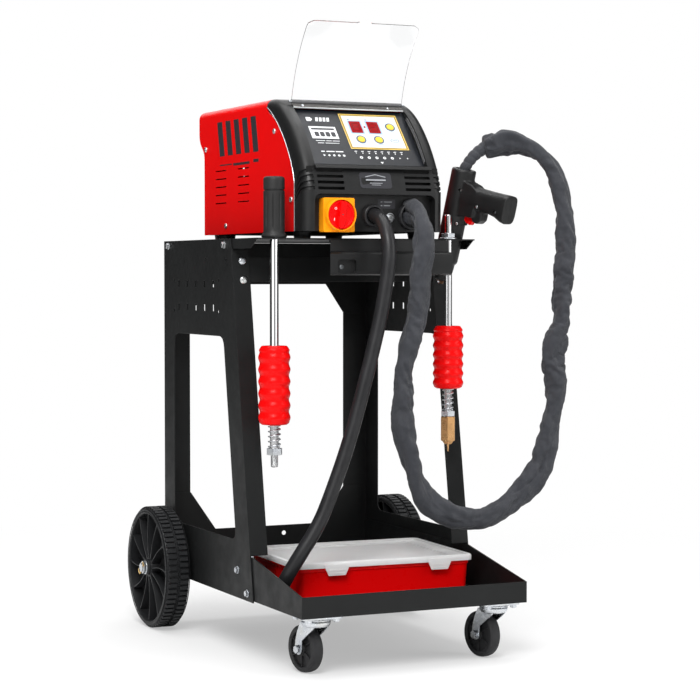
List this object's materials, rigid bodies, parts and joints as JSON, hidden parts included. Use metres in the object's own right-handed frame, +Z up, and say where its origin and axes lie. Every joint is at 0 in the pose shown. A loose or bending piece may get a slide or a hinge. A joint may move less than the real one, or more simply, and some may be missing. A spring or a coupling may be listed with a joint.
{
  "type": "spot welder",
  "caption": "Sheet-metal spot welder for pulling dents, on a wheeled trolley with slide hammers, a sleeved pistol gun, a flip-up visor and a lidded box.",
  "frame": {"origin": "on the floor, in the middle of the footprint of the whole object", "axes": "+Z up, -Y towards the front of the trolley where the castors and the switch are, +X to the right of someone facing the welder"},
  "size_m": [0.5988, 0.6384, 0.994],
  "materials": {
    "powder_coat": "satin black powder coat on sheet steel",
    "black_plastic": "black moulded plastic, fine grain",
    "zinc": "bright zinc plate",
    "caster_rubber": "hard black rubber",
    "red_paint": "bright red gloss paint on sheet steel",
    "red_plastic": "bright red moulded plastic",
    "orange_plastic": "orange-yellow moulded plastic",
    "panel_film": "blue-black printed film",
    "yellow_button": "yellow membrane button",
    "board": "green circuit board",
    "clear_visor": "clear moulded plastic sheet",
    "clear_lid": "milky translucent plastic",
    "core_steel": "laminated core steel",
    "copper": "machined copper alloy",
    "chrome": "polished steel rod",
    "grip_rubber": "black fluted rubber",
    "cable_rubber": "smooth black rubber",
    "grey_fabric": "slate grey woven sleeve"
  },
  "bodies": {
    "trolley": {"side_panel_left": "powder_coat", "side_panel_right": "powder_coat", "top_shelf": "powder_coat", "front_crossbar": "powder_coat", "rear_top_panel": "powder_coat", "rear_lower_panel": "powder_coat", "storage_tray": "powder_coat", "base_plate": "powder_coat", "rear_panel": "powder_coat", "front_handle": "black_plastic", "front_bezel": "black_plastic", "ground_cable_bush": "black_plastic", "gun_cable_bush": "black_plastic", "fan_frame": "black_plastic", "gun_shell_left": "black_plastic", "gun_shell_right": "black_plastic", "rear_axle": "zinc", "caster_plate_left": "zinc", "caster_plate_right": "zinc", "visor_hinge_rod": "zinc", "left_hammer_spring": "zinc", "right_hammer_spring": "zinc", "foot_front_left": "caster_rubber", "foot_front_right": "caster_rubber", "foot_rear_left": "caster_rubber", "foot_rear_right": "caster_rubber", "case_cover": "red_paint", "toolbox_base": "red_plastic", "switch_plate": "orange_plastic", "control_panel": "panel_film", "control_board": "board", "transformer_core": "core_steel", "transformer_winding": "copper", "gun_electrode": "copper", "right_hammer_chuck": "copper", "earth_clamp": "copper", "left_hammer_rod": "chrome", "right_hammer_rod": "chrome", "left_hammer_grip": "grip_rubber", "ground_cable": "cable_rubber", "mains_cord": "cable_rubber", "gun_cable": "grey_fabric"},
    "rear_wheel_left": {"rear_wheel_left": "black_plastic"},
    "rear_wheel_right": {"rear_wheel_right": "black_plastic"},
    "caster_left": {"caster_fork_left": "zinc", "caster_axle_left": "zinc"},
    "caster_left_wheel": {"caster_wheel_left": "caster_rubber"},
    "caster_right": {"caster_fork_right": "zinc", "caster_axle_right": "zinc"},
    "caster_right_wheel": {"caster_wheel_right": "caster_rubber"},
    "visor": {"visor": "clear_visor"},
    "switch_knob": {"switch_knob": "red_plastic"},
    "set_button_1": {"set_button_1": "yellow_button"},
    "set_button_2": {"set_button_2": "yellow_button"},
    "set_button_3": {"set_button_3": "yellow_button"},
    "left_weight": {"left_hammer_weight": "red_plastic"},
    "right_weight": {"right_hammer_weight": "red_plastic"},
    "gun_trigger": {"gun_trigger": "red_plastic"},
    "toolbox_lid": {"toolbox_lid": "clear_lid"},
    "fan_rotor": {"fan_rotor": "black_plastic"}
  },
  "joints": [
    {"name": "rear_wheel_left_spin", "type": "hinge", "parent": "trolley", "child": "rear_wheel_left", "pos_m": [-0.26743, 0.21685, 0.1023], "axis": [1, 0, 0], "continuous": true},
    {"name": "rear_wheel_right_spin", "type": "hinge", "parent": "trolley", "child": "rear_wheel_right", "pos_m": [0.17256, 0.21685, 0.1023], "axis": [1, 0, 0], "continuous": true},
    {"name": "caster_left_swivel", "type": "hinge", "parent": "trolley", "child": "caster_left", "pos_m": [-0.19844, -0.28315, 0.08], "axis": [0, 0, 1], "continuous": true},
    {"name": "caster_left_spin", "type": "hinge", "parent": "caster_left", "child": "caster_left_wheel", "pos_m": [-0.2033, -0.25557, 0.036], "axis": [0.9848, 0.1736, 0], "continuous": true},
    {"name": "caster_right_swivel", "type": "hinge", "parent": "trolley", "child": "caster_right", "pos_m": [0.10357, -0.28315, 0.08], "axis": [0, 0, 1], "continuous": true},
    {"name": "caster_right_spin", "type": "hinge", "parent": "caster_right", "child": "caster_right_wheel", "pos_m": [0.0987, -0.25557, 0.036], "axis": [0.9848, 0.1736, 0], "continuous": true},
    {"name": "visor_hinge", "type": "hinge", "parent": "trolley", "child": "visor", "pos_m": [-0.04743, -0.06815, 0.8715], "axis": [1, 0, 0], "range_deg": [0, 104]},
    {"name": "switch_turn", "type": "hinge", "parent": "trolley", "child": "switch_knob", "pos_m": [-0.11044, -0.16415, 0.6895], "axis": [0, 1, 0], "range_deg": [0, 90]},
    {"name": "set_button_1_press", "type": "slide", "parent": "trolley", "child": "set_button_1", "axis": [0, 0.7465, -0.6654], "range_m": [0, 0.0012], "stiffness_N_per_m": 800},
    {"name": "set_button_2_press", "type": "slide", "parent": "trolley", "child": "set_button_2", "axis": [0, 0.7465, -0.6654], "range_m": [0, 0.0012], "stiffness_N_per_m": 800},
    {"name": "set_button_3_press", "type": "slide", "parent": "trolley", "child": "set_button_3", "axis": [0, 0.7465, -0.6654], "range_m": [0, 0.0012], "stiffness_N_per_m": 800},
    {"name": "left_weight_slide", "type": "slide", "parent": "trolley", "child": "left_weight", "axis": [0, 0, 1], "range_m": [0, 0.16]},
    {"name": "right_weight_slide", "type": "slide", "parent": "trolley", "child": "right_weight", "axis": [0, 0, 1], "range_m": [0, 0.075]},
    {"name": "gun_trigger_pull", "type": "hinge", "parent": "trolley", "child": "gun_trigger", "pos_m": [0.13489, -0.14269, 0.69661], "axis": [-0.9135, -0.4067, 0], "range_deg": [0, 12], "stiffness_Nm_per_rad": 0.5},
    {"name": "toolbox_lid_hinge", "type": "hinge", "parent": "trolley", "child": "toolbox_lid", "pos_m": [-0.03198, 0.01883, 0.1452], "axis": [-0.9989, 0.0471, 0], "range_deg": [0, 100]},
    {"name": "fan_spin", "type": "hinge", "parent": "trolley", "child": "fan_rotor", "pos_m": [-0.04743, 0.22085, 0.78], "axis": [0, 1, 0], "continuous": true}
  ]
}
